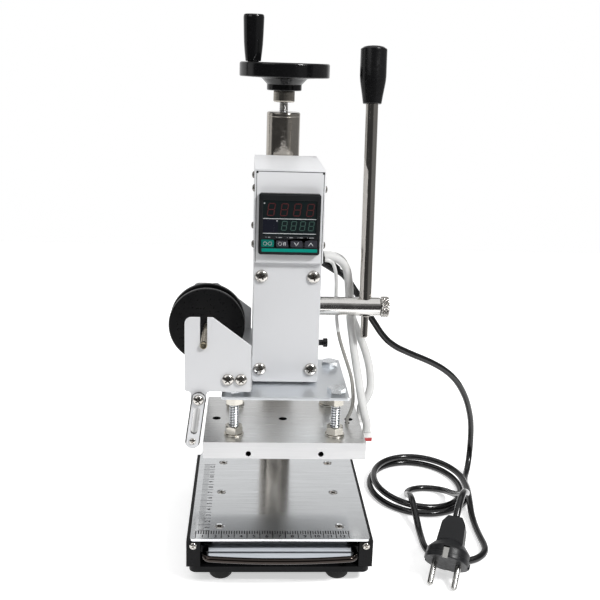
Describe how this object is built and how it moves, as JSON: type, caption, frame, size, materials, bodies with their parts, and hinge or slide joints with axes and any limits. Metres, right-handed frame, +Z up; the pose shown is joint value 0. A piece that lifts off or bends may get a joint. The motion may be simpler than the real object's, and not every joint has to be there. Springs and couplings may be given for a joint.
{
  "type": "hot foil stamping machine",
  "caption": "Bench press with a heated block on a lever-driven rack, a sliding work table, a handwheel that lifts the head on a column, and a foil roll holder.",
  "frame": {"origin": "on the bench plane under the middle of the base plate", "axes": "+X to the operator's right, +Y to the back, +Z up along the column"},
  "size_m": [0.297, 0.2526, 0.4365],
  "materials": {
    "black_paint": "satin black powder coat",
    "rubber": "matt",
    "zinc": "zinc plated",
    "chrome": "polished",
    "nickel": "nickel plated",
    "aluminium": "brushed",
    "steel": "ground",
    "white_paint": "smooth white paint",
    "black_steel": "blackened",
    "brass": "turned",
    "black_plastic": "fine grain",
    "gloss_black": "smooth",
    "key_plastic": "smooth",
    "white_sleeve": "woven glass sleeve",
    "braid": "woven",
    "red_boot": "silicone",
    "cord": "satin cord"
  },
  "bodies": {
    "base": {"base_plate": "black_paint", "feet": "rubber", "foot_screws": "zinc", "side_rails": "black_paint", "rail_screws": "zinc", "column": "nickel", "column_flange": "aluminium", "flange_screws": "black_steel", "column_cap": "nickel", "cord_drop": "cord", "cord_coil": "cord", "cord_tail": "cord", "plug": "cord"},
    "table": {"table_slider": "aluminium", "table_riser": "black_paint", "work_plate": "steel", "plate_screws": "zinc", "table_handle": "chrome"},
    "head": {"head_body": "white_paint", "front_cover": "white_paint", "cover_screws": "zinc", "ram_lock_screw": "black_steel", "lift_nut": "brass", "control_box": "white_paint", "box_front": "white_paint", "box_screws": "zinc", "controller_bezel": "gloss_black", "controller_case": "black_plastic", "cord_gland": "rubber", "lead_bushes": "rubber", "foil_bar": "aluminium", "foil_brackets": "white_paint", "bracket_screws": "zinc", "pivot_screws": "zinc", "heater_leads": "white_sleeve", "probe_lead": "braid"},
    "key_set": {"key_set": "key_plastic"},
    "key_shift": {"key_shift": "key_plastic"},
    "key_down": {"key_down": "key_plastic"},
    "key_up": {"key_up": "key_plastic"},
    "foil_guide": {"guide_arms": "white_paint", "guide_rod": "chrome"},
    "foil_spool": {"spool_rod": "black_steel", "spool_flanges": "black_plastic"},
    "wheel": {"handwheel": "gloss_black", "wheel_collar": "nickel", "lead_screw": "steel", "crank_pin": "zinc"},
    "grip": {"crank_grip": "gloss_black"},
    "lever": {"pinion_shaft": "chrome", "pinion": "steel", "lever_rod": "chrome", "lever_knob": "gloss_black"},
    "clamp_screw": {"lever_clamp_screw": "nickel"},
    "ram_carriage": {"ram": "steel", "ram_plate": "zinc", "standoff_bolts": "zinc", "standoff_nuts": "zinc", "heater_block": "aluminium", "heater_cartridges": "red_boot"}
  },
  "joints": [
    {"name": "table_slide", "type": "slide", "parent": "base", "child": "table", "axis": [0, -1, 0], "range_m": [0, 0.09]},
    {"name": "head_lift", "type": "slide", "parent": "base", "child": "head", "axis": [0, 0, 1], "range_m": [-0.028, 0.012], "deforming": ["cord_drop"]},
    {"name": "wheel_turn", "type": "hinge", "parent": "base", "child": "wheel", "pos_m": [0.001, 0.075, 0.3726], "axis": [0, 0, 1], "range_deg": [-865, 2017]},
    {"name": "grip_spin", "type": "hinge", "parent": "wheel", "child": "grip", "pos_m": [-0.02707, 0.07005, 0.4166], "axis": [0, 0, 1], "continuous": true},
    {"name": "ram_slide", "type": "slide", "parent": "head", "child": "ram_carriage", "axis": [0, 0, -1], "range_m": [0, 0.01989], "stiffness_N_per_m": 400, "springref_m": -0.06, "deforming": ["heater_leads", "probe_lead"]},
    {"name": "lever_turn", "type": "hinge", "parent": "head", "child": "lever", "pos_m": [0.072, -0.008, 0.197], "axis": [1, 0, 0], "range_deg": [0, 95]},
    {"name": "clamp_screw_turn", "type": "hinge", "parent": "lever", "child": "clamp_screw", "pos_m": [0.085, -0.008, 0.197], "axis": [1, 0, 0], "continuous": true},
    {"name": "spool_spin", "type": "hinge", "parent": "head", "child": "foil_spool", "pos_m": [-0.062, -0.0255, 0.184], "axis": [0, 1, 0], "continuous": true},
    {"name": "guide_swing", "type": "hinge", "parent": "head", "child": "foil_guide", "pos_m": [-0.0656, -0.0255, 0.14], "axis": [0, 1, 0], "range_deg": [0, 70]},
    {"name": "key_set_press", "type": "slide", "parent": "head", "child": "key_set", "axis": [0, 1, 0], "range_m": [0, 0.0005], "stiffness_N_per_m": 500},
    {"name": "key_shift_press", "type": "slide", "parent": "head", "child": "key_shift", "axis": [0, 1, 0], "range_m": [0, 0.0005], "stiffness_N_per_m": 500},
    {"name": "key_down_press", "type": "slide", "parent": "head", "child": "key_down", "axis": [0, 1, 0], "range_m": [0, 0.0005], "stiffness_N_per_m": 500},
    {"name": "key_up_press", "type": "slide", "parent": "head", "child": "key_up", "axis": [0, 1, 0], "range_m": [0, 0.0005], "stiffness_N_per_m": 500}
  ],
  "couplings": [
    {"joint": "wheel_turn", "follows": "head_lift", "rad_per_m": -1256.6},
    {"joint": "lever_turn", "follows": "ram_slide", "rad_per_m": 83.333}
  ]
}
